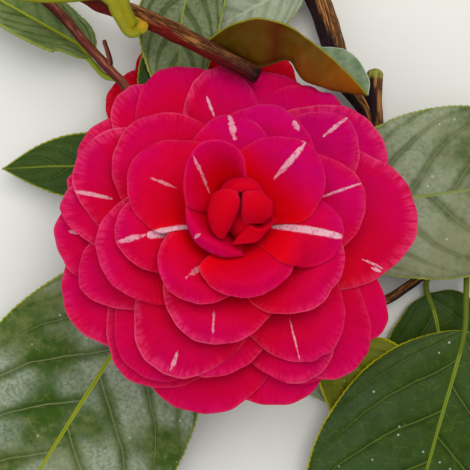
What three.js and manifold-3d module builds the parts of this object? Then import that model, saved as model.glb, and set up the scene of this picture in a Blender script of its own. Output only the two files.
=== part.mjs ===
// A cut flowering spray of camellia: woody twigs, leathery leaves and two double blooms.
// It lies on a flat surface with the large bloom facing up. Millimetres, +Z up.
import * as THREE from 'three';
import { mergeVertices } from 'three/addons/utils/BufferGeometryUtils.js';
import Module from 'manifold-3d';

const wasm = await Module();
wasm.setup();

// Driving sizes. Places below are measured from the point on the surface under the large bloom.
const bloomReach = 44; // radius of the large bloom's ring of outer petals
const bloomDome = 26; // height of its heart above its rim
const bloomDepth = 9; // depth of its saucer below its rim
const bloomTilt = 13; // degrees its face leans towards +Y
const rimHeight = 32; // height of its rim's middle above the surface
const rimOffset = -0.6; // and where that middle is along Y
const rearReach = 29.5; // radius of the small bloom that lies behind
const rearDome = 4.4;
const rearDepth = 4;
const rearPlace = [-7.5, 28.5, 6.7];
const coreDepth = 11; // from the large bloom's rim down to the flat foot that its calyx holds
const rearCoreDepth = 4.4;
const petalThickness = 1;
const leafThickness = 1.1;
const petioleWidth = 1.8;
const gap = 0.3; // between two pieces that touch
const centreShift = [-7.8, 10.5]; // puts the origin under the middle of the whole spray

const colours = {
  bark: ['#5c4033', 0.8],
  leaf: ['#2f4a26', 0.4],
  youngLeaf: ['#8f9a22', 0.45],
  petal: ['#c8063c', 0.75],
  sepal: ['#7a8a3a', 0.6],
};

const { clamp, degToRad, lerp, smoothstep } = THREE.MathUtils;
const vector = (place) => new THREE.Vector3(...place);
const up = new THREE.Vector3(0, 0, 1);

// A named mesh from any closed geometry, its vertices merged so that it is one solid.
function piece(name, geometry, colour) {
  geometry.deleteAttribute('normal');
  geometry.deleteAttribute('uv');
  const merged = mergeVertices(geometry, 1e-4);
  merged.computeVertexNormals();
  const [color, roughness] = colours[colour];
  const mesh = new THREE.Mesh(merged, new THREE.MeshStandardMaterial({ color, roughness, metalness: 0 }));
  mesh.name = name;
  return mesh;
}

// The two directions across a curve: to the left of it, and upwards.
function across(tangent, roll = 0) {
  const left = new THREE.Vector3().crossVectors(up, tangent).normalize();
  const over = new THREE.Vector3().crossVectors(tangent, left);
  left.applyAxisAngle(tangent, roll);
  over.applyAxisAngle(tangent, roll);
  return [left, over];
}

function curveThrough(places) {
  return new THREE.CatmullRomCurve3(places.map(vector), false, 'catmullrom', 0.5);
}

// A limb is a tapering round stem along a smooth curve. Its radius falls evenly from foot to tip.
function limb(places, footRadius, tipRadius) {
  const curve = curveThrough(places);
  const radiusAt = (u) => lerp(footRadius, tipRadius, u);
  return { curve, radiusAt };
}

function limbGeometry({ curve, radiusAt }, sides, steps, from = 0, to = 1) {
  const tube = new THREE.CylinderGeometry(1, 1, 1, sides, steps);
  const position = tube.attributes.position;
  for (let k = 0; k < position.count; k += 1) {
    const u = lerp(from, to, position.getY(k) + 0.5);
    const [left, over] = across(curve.getTangentAt(u));
    const point = curve.getPointAt(u);
    point.addScaledVector(left, -position.getX(k) * radiusAt(u));
    point.addScaledVector(over, position.getZ(k) * radiusAt(u));
    position.setXYZ(k, point.x, point.y, point.z);
  }
  return tube;
}

// Where a stalk of half width half starts so that its flat end clears the limb it grows from.
function budPoint({ curve, radiusAt }, u, towards, half) {
  const foot = curve.getPointAt(u);
  const away = vector(towards).sub(foot).normalize();
  const slant = Math.abs(away.dot(curve.getTangentAt(u)));
  const rise = Math.sqrt(1 - slant * slant);
  foot.addScaledVector(away, (radiusAt(u) + gap + half * slant) / rise);
  return foot.toArray();
}

// A thin closed sheet along the surface place(s, t), where s runs along it and t across, from -1 to 1.
function sheet(place, thickness, alongSteps, acrossSteps) {
  const box = new THREE.BoxGeometry(2, 2, 2, alongSteps, acrossSteps, 1);
  const position = box.attributes.position;
  const reach = 0.02;
  for (let k = 0; k < position.count; k += 1) {
    const s = position.getX(k);
    const t = position.getY(k);
    const a = clamp(s, -0.95, 0.95);
    const b = clamp(t, -0.95, 0.95);
    const lengthways = place(a + reach, b).sub(place(a - reach, b));
    const crossways = place(a, b + reach).sub(place(a, b - reach));
    const normal = lengthways.cross(crossways).normalize();
    const point = place(s, t).addScaledVector(normal, 0.5 * position.getZ(k) * thickness(s));
    position.setXYZ(k, point.x, point.y, point.z);
  }
  return box;
}

// Half width of a leaf's blade from its foot, 0, to its tip, 1, as a share of the widest. The tip
// is the finer the larger point is.
function bladeOutline(b, point) {
  return Math.sin(Math.PI * b ** 0.9) ** (0.5 + point * b * b);
}

const plainLeaf = { petiole: 0.12, fold: 8, curl: 0.15, roll: 0, twist: 0, lean: 0, point: 0.45 };

// A leaf on its petiole. The halves fold up from the midrib by fold degrees, the margins curl down
// by curl of the half width, and the whole turns about its midrib by roll degrees, with twist more
// at its tip. A lean makes its left half the wider one.
function leafGeometry(places, width, shape) {
  const { petiole, fold, curl, roll, twist, lean, point } = { ...plainLeaf, ...shape };
  const curve = curveThrough(places);
  const bladeAt = (u) => clamp((u - petiole) / (1 - petiole), 0, 1);
  const place = (s, t) => {
    const u = 0.5 * (s + 1);
    const half = Math.max(0.5 * petioleWidth, 0.5 * width * bladeOutline(bladeAt(u), point));
    const turned = degToRad(roll + twist * smoothstep(u, 0.55, 1));
    const [left, over] = across(curve.getTangentAt(u), turned);
    const rise = Math.sin(degToRad(fold)) * Math.abs(t) - curl * t * t;
    const spread = Math.cos(degToRad(fold)) * t;
    const reach = half * (1 + lean * t);
    return curve.getPointAt(u).addScaledVector(left, reach * spread).addScaledVector(over, reach * rise);
  };
  const thickness = (s) => {
    return lerp(petioleWidth, leafThickness, smoothstep(bladeAt(0.5 * (s + 1)), 0, 0.15));
  };
  return sheet(place, thickness, 11, 4);
}

// A round petal. It climbs from the bloom's axis and flattens towards its rounded tip.
// turn is its direction in degrees, reach its tip's distance from the axis, order its place from
// the outermost inwards. steep sharpens the climb, wrap bends it round the axis, cup lifts its sides.
function petalSurface(bloom, order, [turn, reach, width, { steep = 2, wrap = 0.25, cup = 0 } = {}]) {
  const footRadius = 2;
  const foot = -bloom.depth + bloom.footStep * order;
  const fall = (Math.min(reach, bloom.reach) / bloom.reach) ** 1.5;
  const tip = bloom.dome * (1 - fall) + bloom.tipStep * order;
  const bend = wrap / reach;
  const angle = degToRad(turn);
  return (s, t) => {
    const x = s * Math.sqrt(1 - 0.5 * t * t);
    const y = t * Math.sqrt(1 - 0.5 * s * s);
    const along = 0.5 * (1 + x);
    const side = 0.5 * width * (0.5 + 0.5 * smoothstep(along, 0, 0.5)) * y;
    const outward = lerp(footRadius, reach, along) - (1 - Math.cos(bend * side)) / bend;
    const sideways = Math.sin(bend * side) / bend;
    const share = clamp(Math.hypot(outward, sideways) / reach, 0, 1);
    const climb = foot + (tip - foot) * (1 - (1 - share) ** steep);
    const lift = cup * y * y * smoothstep(along, 0.2, 1);
    const droop = bloom.droop * smoothstep(Math.hypot(x, y), 0.6, 1) * smoothstep(along, 0.3, 0.8);
    return new THREE.Vector3(
      outward * Math.cos(angle) - sideways * Math.sin(angle),
      outward * Math.sin(angle) + sideways * Math.cos(angle),
      climb + lift - droop,
    );
  };
}

function toManifold(geometry) {
  geometry.deleteAttribute('normal');
  geometry.deleteAttribute('uv');
  const merged = mergeVertices(geometry, 1e-4);
  const vertProperties = new Float32Array(merged.attributes.position.array);
  const triVerts = new Uint32Array(merged.index.array);
  return new wasm.Manifold(new wasm.Mesh({ numProp: 3, vertProperties, triVerts }));
}

// Closed geometries joined in one solid, without the small hollows sealed between them.
function joined(geometries) {
  const solid = geometries.map(toManifold).reduce((whole, next) => whole.add(next));
  const parts = solid.decompose().sort((a, b) => b.volume() - a.volume());
  const { vertProperties, triVerts } = parts[0].getMesh();
  const geometry = new THREE.BufferGeometry();
  geometry.setAttribute('position', new THREE.BufferAttribute(vertProperties, 3));
  geometry.setIndex(new THREE.BufferAttribute(triVerts, 1));
  return geometry;
}

// All petals joined with the core that they stand on.
function bloomGeometry(bloom, coreProfile, alongSteps, acrossSteps) {
  const core = new THREE.LatheGeometry(coreProfile.map(([r, h]) => new THREE.Vector2(r, h)), 16);
  core.rotateX(Math.PI / 2);
  const petals = bloom.petals.map((petal, order) => (
    sheet(petalSurface(bloom, order, petal), () => petalThickness, alongSteps, acrossSteps)
  ));
  return joined([core, ...petals]);
}

function calyxGeometry(topRadius, footRadius, depth) {
  const profile = [
    [0, -depth], [footRadius, -depth], [0.6 * topRadius, -0.65 * depth], [0.95 * topRadius, -0.3 * depth],
    [topRadius, 0], [0, 0],
  ];
  const cup = new THREE.LatheGeometry(profile.map(([r, h]) => new THREE.Vector2(r, h)), 16);
  cup.rotateX(Math.PI / 2);
  return cup;
}

// Petals of the large bloom, [turn, reach, width, shape], from the back ring to the heart.
const heart = { steep: 3, wrap: 1 };
const largePetals = [
  [257, 44, 36], [289, 42.5, 36], [312, 43.5, 32], [329, 41.5, 28], [208, 45, 34], [235, 43.5, 34],
  [182, 45.5, 30], [163, 45.5, 24], [146, 46.5, 30], [127, 47, 24], [78, 45.5, 40], [110, 48.5, 30],
  [59, 44.5, 30], [40, 46.5, 34], [6, 45.5, 42],
  [323, 39.5, 30], [293, 38, 28], [262, 36, 30], [204, 37.5, 24], [240, 36, 28], [171, 43, 24],
  [43, 40, 26], [153, 44, 32], [96, 45.5, 22], [135, 38, 30], [300, 35.5, 28], [17, 32.5, 27],
  [68, 32, 28], [201, 33, 33], [324, 27.5, 30], [260, 29, 28], [93, 26.5, 22], [38, 27, 28],
  [188, 28.5, 22], [232, 23, 24], [285, 19.5, 24], [147, 28.8, 24], [347, 25.5, 22],
  [118, 19, 22, { cup: 3, wrap: 0.6 }], [222, 12.5, 22, heart], [318, 9, 15, heart], [82, 8, 13, heart],
];
const largeBloom = {
  petals: largePetals, reach: bloomReach, dome: bloomDome, depth: bloomDepth,
  footStep: 0.35, tipStep: 0.12, droop: 1.8,
};
const largeCore = [
  [0, -coreDepth], [6.5, -coreDepth], [8.5, -6.5], [16, -3.7], [28, -1.2], [20, 6.5],
  [10, 12.5], [4, 16], [0, 17],
];

// Petals of the small bloom, in three rings that close in and take each other's gaps.
const rearRings = [[9, rearReach, 24], [6, 0.7 * rearReach, 21], [4, 0.4 * rearReach, 15]];
const rearPetals = rearRings.flatMap(([count, reach, width], ring) => (
  Array.from({ length: count }, (_, k) => [360 * (k + 0.5 * ring) / count, reach, width])
));
const rearBloom = {
  petals: rearPetals, reach: rearReach, dome: rearDome, depth: rearDepth,
  footStep: 0.12, tipStep: 0.05, droop: 0.6,
};
const rearCore = [[0, -rearCoreDepth], [4, -rearCoreDepth], [6, -2.6], [16, 0.2], [8, 3], [0, 4.2]];

// Limbs. The stem arches over from its cut foot and carries the twigs. It is split where it bends.
const stem = limb([
  [-86.6, 82.4, 3.4], [-71, 87, 3.6], [-49, 93, 4.5], [-21, 95, 5.5], [1.5, 90, 6.5], [15, 77, 7],
  [22.6, 64.6, 7.5], [28.3, 50.8, 8], [32.1, 41.2, 8], [36.6, 33, 7], [39.8, 21, 4.2], [40, 5.6, 1.95],
  [38.4, -9.8, 1.8], [35.5, -23, 2.4],
], 3.4, 1.6);
const stemParts = [[12, 0, 0.4], [13, 0.4014, 0.8], [6, 0.8014, 1]];

const frontPlaces = [[-50, 71.5, 19], [-24.2, 56.3, 26], [-11.4, 49.6, 27.6], [6.1, 40.3, 28.2]];
const frontTwig = limb([budPoint(stem, 0.115, frontPlaces[0], 2.3), ...frontPlaces], 2.3, 1.9);
const leftPlaces = [
  [-58.9, 70.4, 8.5], [-48.4, 61, 9], [-39.3, 50.7, 11.5], [-33.1, 43.8, 14], [-28.7, 38.8, 15.3],
  [-18.7, 22.7, 16], [-8, 5.3, 15.4], [0, -4.3, 14.4], [5, -10, 13.6],
];
const leftTwig = limb([budPoint(stem, 0.055, leftPlaces[0], 1.3), ...leftPlaces], 1.3, 1.1);
const spurFoot = leftTwig.curve.getPointAt(0.47).toArray();
const spur = limb([spurFoot, [-33.6, 47, 14], [-35.2, 52.3, 14]], 0.75, 0.6);
const rightPlaces = [[42, -18, 4.5], [48.7, -13.6, 6], [56.6, -8, 6.5], [64.9, -6.3, 6.5]];
const rightTwig = limb([budPoint(stem, 0.98, rightPlaces[0], 1.4), ...rightPlaces], 1.4, 1.1);
const stub = limb([stem.curve.getPointAt(0.775).toArray(), [38, 38, 9], [38.2, 45.4, 10]], 1.9, 1.8);
const rearPlaces = [[18, 35, 2.2], [8, 32.4, 1.3], [-3.3, 29.4, 1.15]];
const rearTwig = limb([budPoint(stem, 0.69, rearPlaces[0], 1), ...rearPlaces], 1, 0.9);

// Leaves, each from the limb that bears it, at u along the limb.
const leaves = {
  leaf_low_left: {
    from: [leftTwig, 0.93], width: 65, petiole: 0.14, curl: 0.1, fold: 6,
    places: [[-12.2, -5.4, 12.5], [-20.3, -12, 11.5], [-34.2, -33.6, 9], [-49, -56.8, 5.5],
      [-64, -81, 2.8], [-79, -104, 0.6]],
  },
  leaf_low_right: {
    from: [rightTwig, 0.97], width: 64, petiole: 0.17, fold: 7,
    places: [[63.4, -17.8, 8], [62, -29, 10], [56, -50.4, 10], [50.3, -73, 7.5], [44.6, -96, 3.6],
      [40.3, -118.5, 0.6]],
  },
  leaf_under_right: {
    from: [stem, 0.97], width: 32, petiole: 0.14,
    places: [[31.5, -21.5, 3.5], [29, -31, 4.6], [36, -40, 5.4], [47, -52, 5.2], [62, -68, 4.6], [75, -80, 4]],
  },
  leaf_under_low: {
    from: [leftTwig, 0.975], width: 16, petiole: 0.16, fold: 4,
    places: [[2, -13, 11.5], [8, -20, 8], [18, -33, 3.6], [30.7, -48.8, 1.8]],
  },
  leaf_right_edge: {
    from: [rightTwig, 0.62], width: 42, petiole: 0.1, fold: 2, curl: 0.05,
    places: [[53.6, -15.4, 2.6], [56, -24, 2.2], [57.4, -40.5, 1.8], [59.6, -60, 1.5], [62.8, -82.6, 1.2]],
  },
  leaf_right: {
    from: [leftTwig, 0.97], width: 47, petiole: 0.2,
    places: [[17.4, 1.5, 14.5], [29.5, 8, 15], [44.3, 9.7, 14.5], [63.5, 12.2, 12], [83.4, 14.5, 8],
      [103, 15.8, 5]],
  },
  leaf_left: {
    from: [leftTwig, 0.83], width: 19,
    places: [[-21, 15.5, 14.5], [-34, 18.2, 12], [-48, 18.8, 9.5], [-64, 18.2, 7]],
  },
  leaf_upper_left: {
    from: [leftTwig, 0.45], width: 27, petiole: 0.16, fold: 35, roll: 30,
    places: [[-37.8, 47, 9], [-43.7, 52.4, 6.6], [-48.4, 55.3, 6], [-64.7, 64.7, 5], [-78, 72, 4.4]],
  },
  leaf_top: {
    from: [stem, 0.37], width: 24, petiole: 0.1, fold: 6, lean: 0.18,
    places: [[-9, 85.8, 11], [-10.8, 71.8, 13.4], [-12.7, 63.3, 15], [-14.8, 56.4, 16.2],
      [-16.5, 46, 17.6], [-18, 36, 18.6], [-19, 26, 19]],
  },
  leaf_top_middle: {
    from: [stem, 0.54], width: 19, petiole: 0.14,
    places: [[13, 64.5, 9], [7.4, 62.2, 9.6], [-0.8, 59, 9.6], [-12.4, 53.2, 9]],
  },
  leaf_behind: {
    from: [leftTwig, 0.72], width: 14, petiole: 0.15, fold: 4,
    places: [[-18.5, 30, 13.2], [-19.5, 42, 13], [-21, 57, 12]],
  },
  leaf_folded: {
    from: [frontTwig, 0.74], width: 28, petiole: 0.08, fold: 62, curl: 0.1, roll: -100, twist: 47,
    point: 0.05, colour: 'youngLeaf',
    places: [[-4.6, 47, 23.6], [0, 45.4, 23.2], [5, 44, 23.7], [12, 43.6, 25], [18, 40.5, 25.8],
      [24, 38, 25.8], [34.5, 36, 24.8]],
  },
  leaf_young: {
    from: [frontTwig, 0.5], width: 12, fold: 20, lean: -0.3, colour: 'youngLeaf',
    places: [[-25.2, 51.8, 26.5], [-27.2, 53.3, 28.4], [-29.9, 58.9, 30.4], [-33.2, 64, 30.6],
      [-40.4, 68.5, 29.4]],
  },
};

const spray = new THREE.Group();
spray.position.set(...centreShift, 0);

const [foot, middle, tip] = stemParts.map((part) => limbGeometry(stem, 10, ...part));
spray.add(piece('stem_foot', foot, 'bark'));
spray.add(piece('stem_middle', joined([middle, limbGeometry(stub, 10, 4)]), 'bark'));
spray.add(piece('stem_tip', tip, 'bark'));
spray.add(piece('front_twig', limbGeometry(frontTwig, 10, 14), 'bark'));
spray.add(piece('left_twig', joined([limbGeometry(leftTwig, 8, 24), limbGeometry(spur, 6, 3)]), 'bark'));
spray.add(piece('right_twig', limbGeometry(rightTwig, 8, 8), 'bark'));
spray.add(piece('rear_twig', limbGeometry(rearTwig, 8, 8), 'bark'));

Object.entries(leaves).forEach(([name, { from: [bearer, u], places, width, colour, ...shape }]) => {
  const start = budPoint(bearer, u, places[0], 0.75 * petioleWidth);
  spray.add(piece(name, leafGeometry([start, ...places], width, shape), colour ?? 'leaf'));
});

const bloomSeat = new THREE.Group();
bloomSeat.position.set(0, rimOffset, rimHeight);
bloomSeat.rotation.x = -degToRad(bloomTilt);
bloomSeat.add(piece('bloom', bloomGeometry(largeBloom, largeCore, 5, 4), 'petal'));
const calyx = piece('calyx', calyxGeometry(6.3, 2, 4.7), 'sepal');
calyx.position.z = -coreDepth - gap;
bloomSeat.add(calyx);
spray.add(bloomSeat);

const rearSeat = new THREE.Group();
rearSeat.position.set(...rearPlace);
rearSeat.add(piece('rear_bloom', bloomGeometry(rearBloom, rearCore, 5, 3), 'petal'));
const rearCalyx = piece('rear_calyx', calyxGeometry(4, 2, 2), 'sepal');
rearCalyx.position.z = -rearCoreDepth - gap;
rearSeat.add(rearCalyx);
spray.add(rearSeat);

export default spray;
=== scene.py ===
# A cut flowering spray of camellia. Sizes in the dictionaries are millimetres, in the spray's own
# frame: X to the right, Y towards the arching stem, Z up from the surface that the spray lies on.
import math
import random
from bisect import bisect_right
from functools import reduce

import bmesh
import bpy
from mathutils import Matrix, Vector, noise
from mathutils.bvhtree import BVHTree


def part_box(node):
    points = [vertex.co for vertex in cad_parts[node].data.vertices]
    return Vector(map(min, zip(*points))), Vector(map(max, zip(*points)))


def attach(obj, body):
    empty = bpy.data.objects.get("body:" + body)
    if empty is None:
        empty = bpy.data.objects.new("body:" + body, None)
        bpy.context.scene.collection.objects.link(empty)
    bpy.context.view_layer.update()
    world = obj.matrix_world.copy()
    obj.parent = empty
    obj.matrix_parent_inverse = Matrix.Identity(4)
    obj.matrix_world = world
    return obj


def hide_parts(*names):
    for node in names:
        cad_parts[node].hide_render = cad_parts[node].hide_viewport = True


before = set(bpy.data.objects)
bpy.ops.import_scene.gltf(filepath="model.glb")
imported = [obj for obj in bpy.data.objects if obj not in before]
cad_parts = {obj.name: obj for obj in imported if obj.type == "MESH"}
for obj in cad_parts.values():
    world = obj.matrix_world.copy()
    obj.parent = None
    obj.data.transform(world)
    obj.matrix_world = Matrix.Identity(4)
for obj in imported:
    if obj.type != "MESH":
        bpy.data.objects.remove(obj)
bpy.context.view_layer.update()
lowest = min(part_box(name)[0].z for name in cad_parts)
print("frame loaded,", len(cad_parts), "nodes")

mm = 0.001
spray = {"shift": (-7.8, 10.5, 0), "body": "root"}
toPart = Matrix.Scale(mm, 4) @ Matrix.Translation(spray["shift"])


def lerp(a, b, t):
    return a + (b - a) * t


def clamp(value, low=0.0, high=1.0):
    return max(low, min(high, value))


def smoothstep(value, low, high):
    t = clamp((value - low) / (high - low))
    return t * t * (3 - 2 * t)


def toDisc(s, t):
    # a square grid's point, moved into the round of a petal
    return s * math.sqrt(1 - 0.5 * t * t), t * math.sqrt(1 - 0.5 * s * s)


class Wire:
    # an output socket: arithmetic on it adds Math nodes
    def __init__(self, finish, socket):
        self.finish = finish
        self.socket = socket

    def maths(self, operation, *values):
        inputs = dict(enumerate(values))
        return self.finish.node("ShaderNodeMath", {"operation": operation}, inputs)

    def output(self, name):
        return Wire(self.finish, self.socket.node.outputs[name])

    def __add__(self, other):
        return self.maths("ADD", self, other)

    def __sub__(self, other):
        return self.maths("SUBTRACT", self, other)

    def __rsub__(self, other):
        return self.maths("SUBTRACT", other, self)

    def __mul__(self, other):
        return self.maths("MULTIPLY", self, other)

    def __pow__(self, other):
        return self.maths("POWER", self, other)

    def __abs__(self):
        return self.maths("ABSOLUTE", self)

    __radd__ = __add__
    __rmul__ = __mul__

    def step(self, low, high):
        # 0 at low, 1 at high, smooth between
        values = {"Value": self, "From Min": low, "From Max": high}
        return self.finish.node("ShaderNodeMapRange", {"interpolation_type": "SMOOTHSTEP"}, values)

    def most(self, other):
        return self.maths("MAXIMUM", self, other)

    def fold(self, scale):
        return self.maths("PINGPONG", self, scale)


class Finish:
    def __init__(self, name, **constants):
        self.material = bpy.data.materials.new(name)
        self.material.use_nodes = True
        self.tree = self.material.node_tree
        self.shader = self.tree.nodes["Principled BSDF"]
        for socket, value in constants.items():
            self.shader.inputs[socket.replace("_", " ")].default_value = value

    def node(self, kind, settings=None, values=None, output=0):
        added = self.tree.nodes.new(kind)
        for key, value in (settings or {}).items():
            if key == "stops":
                self.setStops(added.color_ramp, value)
            else:
                setattr(added, key, value)
        for key, value in (values or {}).items():
            self.feed(added.inputs[key], value)
        return Wire(self, added.outputs[output])

    def setStops(self, ramp, stops):
        while len(ramp.elements) < len(stops):
            ramp.elements.new(0.5)
        for element, (place, colour) in zip(ramp.elements, stops):
            element.position = place
            element.color = (*colour, 1)

    def feed(self, socket, value):
        if isinstance(value, Wire):
            self.tree.links.new(value.socket, socket)
        elif isinstance(value, tuple) and len(value) == 3 and socket.type == "RGBA":
            socket.default_value = (*value, 1)
        else:
            socket.default_value = value

    def object(self):
        return self.node("ShaderNodeTexCoord", output="Object")

    def uv(self, name):
        return self.node("ShaderNodeUVMap", {"uv_map": name})

    def attribute(self, name):
        return self.node("ShaderNodeAttribute", {"attribute_name": name}, output="Fac")

    def parts(self, vector):
        split = self.node("ShaderNodeSeparateXYZ", {}, {0: vector})
        return split, split.output("Y"), split.output("Z")

    def stretched(self, vector, scale, location=(0, 0, 0)):
        values = {"Vector": vector, "Scale": scale, "Location": location}
        return self.node("ShaderNodeMapping", {}, values)

    def grain(self, vector, scale, detail=2.0, roughness=0.5, distortion=0.0):
        values = {"Vector": vector, "Scale": scale, "Detail": detail, "Roughness": roughness,
                  "Distortion": distortion}
        return self.node("ShaderNodeTexNoise", {}, values)

    def vector(self, operation, *values):
        inputs = dict(enumerate(values))
        return self.node("ShaderNodeVectorMath", {"operation": operation}, inputs)

    def blend(self, mask, below, above):
        settings = {"data_type": "RGBA", "clamp_factor": True}
        return self.node("ShaderNodeMix", settings, {0: mask, 6: below, 7: above}, output=2)

    def coats(self, colour, *layers):
        # each layer is a mask and the colour it lays over what is below
        for mask, above in layers:
            colour = self.blend(mask, colour, above)
        return colour

    def ramp(self, value, *stops):
        return self.node("ShaderNodeValToRGB", {"stops": stops}, {0: value})

    def finish(self, colour, roughness=None, height=None, depth=0.0002):
        self.feed(self.shader.inputs["Base Color"], colour)
        if roughness is not None:
            self.feed(self.shader.inputs["Roughness"], roughness)
        if height is not None:
            values = {"Height": height, "Distance": depth, "Strength": 1.0}
            self.feed(self.shader.inputs["Normal"], self.node("ShaderNodeBump", {}, values))
        return self.material


class Path:
    # a smooth curve through places, followed by its length from 0 to 1
    def __init__(self, places, pieces=120):
        self.places = [Vector(place) for place in places]
        self.table = [0.0]
        last = self.raw(0)
        for k in range(1, pieces + 1):
            point = self.raw(k / pieces)
            self.table.append(self.table[-1] + (point - last).length)
            last = point
        self.length = self.table[-1]

    def raw(self, t):
        places, count = self.places, len(self.places) - 1
        k = min(int(t * count), count - 1)
        w = t * count - k
        a, b = places[k], places[k + 1]
        before = places[k - 1] if k > 0 else 2 * a - b
        after = places[k + 2] if k + 2 <= count else 2 * b - a
        start, end = 0.5 * (b - before), 0.5 * (after - a)
        return (a + start * w + (3 * b - 3 * a - 2 * start - end) * w ** 2
                + (2 * a - 2 * b + start + end) * w ** 3)

    def share(self, u):
        wanted, last = clamp(u) * self.length, len(self.table) - 1
        k = min(bisect_right(self.table, wanted), last) - 1
        span = self.table[k + 1] - self.table[k]
        return (k + (wanted - self.table[k]) / max(span, 1e-9)) / last

    def at(self, u):
        return self.raw(self.share(u))

    def along(self, u):
        t = self.share(u)
        return (self.raw(min(t + 1e-3, 1)) - self.raw(max(t - 1e-3, 0))).normalized()


def across(tangent, roll=0.0):
    # to the left of a curve, and upwards from it
    left = Vector((0, 0, 1)).cross(tangent).normalized()
    over = tangent.cross(left)
    turn = Matrix.Rotation(roll, 3, tangent)
    return turn @ left, turn @ over


def newMesh(*layers):
    bm = bmesh.new()
    for layer in layers:
        bm.verts.layers.float.new(layer)
    return bm


def addGrid(bm, grid):
    made = bmesh.ops.create_grid(bm, x_segments=grid[0], y_segments=grid[1], size=1)["verts"]
    return {vert: (vert.co.x, vert.co.y) for vert in made}


def setUv(bm, name, places):
    layer = bm.loops.layers.uv.get(name) or bm.loops.layers.uv.new(name)
    for face in {face for vert in places for face in vert.link_faces}:
        for loop in face.loops:
            loop[layer].uv = places[loop.vert]


def seated(look):
    turn = Matrix.Rotation(-math.radians(look["tilt"]), 4, "X")
    return toPart @ Matrix.Translation(look["seat"]) @ turn


def closeTubes(bm):
    bmesh.ops.remove_doubles(bm, verts=bm.verts, dist=0.001)
    bmesh.ops.holes_fill(bm, edges=[edge for edge in bm.edges if edge.is_boundary], sides=0)
    bmesh.ops.recalc_face_normals(bm, faces=bm.faces)


def finishPiece(name, bm, material, slotName, nodes=(), matrix=toPart, thickness=0.0, offset=-1.0):
    bmesh.ops.transform(bm, matrix=matrix, verts=bm.verts)
    mesh = bpy.data.meshes.new(name)
    bm.to_mesh(mesh)
    bm.free()
    mesh.materials.append(material)
    mesh.shade_smooth()
    piece = bpy.data.objects.new(name, mesh)
    bpy.context.scene.collection.objects.link(piece)
    if thickness:
        wall = piece.modifiers.new("wall", "SOLIDIFY")
        wall.thickness = thickness * mm
        wall.offset = offset
    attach(piece, spray["body"])
    if nodes:
        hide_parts(*nodes)
    print(name, len(mesh.polygons), "faces")


studio = {
    "eye": (0, 0, 276.8), "lens": 75, "aim": (0, 0, 30),
    "floorDrop": 0.2, "floorReach": 1500, "floorColour": (0.735, 0.73, 0.68), "floorShade": 0.97,
    "sky": (0.95, 0.97, 1.0), "skyStrength": 0.62,
    "key": {"place": (80, 170, 450), "size": 380, "power": 1.5, "colour": (1, 0.98, 0.95)},
    "fill": {"place": (-320, -60, 300), "size": 300, "power": 0.35, "colour": (0.92, 0.96, 1)},
}


def areaLight(name, look):
    data = bpy.data.lights.new(name, "AREA")
    data.energy = look["power"]
    data.color = look["colour"]
    data.size = look["size"] * mm
    lamp = bpy.data.objects.new(name, data)
    bpy.context.scene.collection.objects.link(lamp)
    lamp.location = toPart @ Vector(look["place"])
    aim = toPart @ Vector(studio["aim"]) - lamp.location
    lamp.rotation_euler = aim.to_track_quat("-Z", "Y").to_euler()


cameraData = bpy.data.cameras.new("camera")
cameraData.lens = studio["lens"]
camera = bpy.data.objects.new("camera", cameraData)
camera.location = toPart @ Vector(studio["eye"])
bpy.context.scene.collection.objects.link(camera)
bpy.context.scene.camera = camera
areaLight("keyLight", studio["key"])
areaLight("fillLight", studio["fill"])
bpy.context.scene.view_settings.view_transform = "Standard"
world = bpy.data.worlds.new("studio")
world.use_nodes = True
world.node_tree.nodes["Background"].inputs["Color"].default_value = (*studio["sky"], 1)
world.node_tree.nodes["Background"].inputs["Strength"].default_value = studio["skyStrength"]
bpy.context.scene.world = world

floorMesh = newMesh()
bmesh.ops.create_grid(floorMesh, x_segments=1, y_segments=1, size=studio["floorReach"])
floorFinish = Finish("paleFloor", Roughness=0.9)
floorGrain = floorFinish.grain(floorFinish.object(), 30.0)
floorShade = tuple(studio["floorShade"] * c for c in studio["floorColour"])
floorColour = floorFinish.ramp(floorGrain, (0.3, floorShade), (0.7, studio["floorColour"]))
floorData = bpy.data.meshes.new("floor")
floorPlace = Matrix.Translation((0, 0, lowest - studio["floorDrop"] * mm)) @ Matrix.Scale(mm, 4)
bmesh.ops.transform(floorMesh, matrix=floorPlace, verts=floorMesh.verts)
floorMesh.to_mesh(floorData)
floorMesh.free()
floorData.materials.append(floorFinish.finish(floorColour))
floor = bpy.data.objects.new("floor", floorData)
bpy.context.scene.collection.objects.link(floor)
print("camera, light and floor")


bloom = {
    "reach": 44, "dome": 26, "depth": 9, "footRadius": 2, "footStep": 0.35, "tipStep": 0.12,
    "droop": 1.8, "seat": (0, -0.6, 32), "tilt": 13, "thickness": 0.4, "clearance": 0.55,
    "grid": (32, 28), "wave": 0.55, "ripple": 0.012, "groove": 0.35, "bulge": 0.5, "seed": 4,
    "steep": 2.0, "wrap": 0.25, "pale": (0.12, 0),
}
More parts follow.
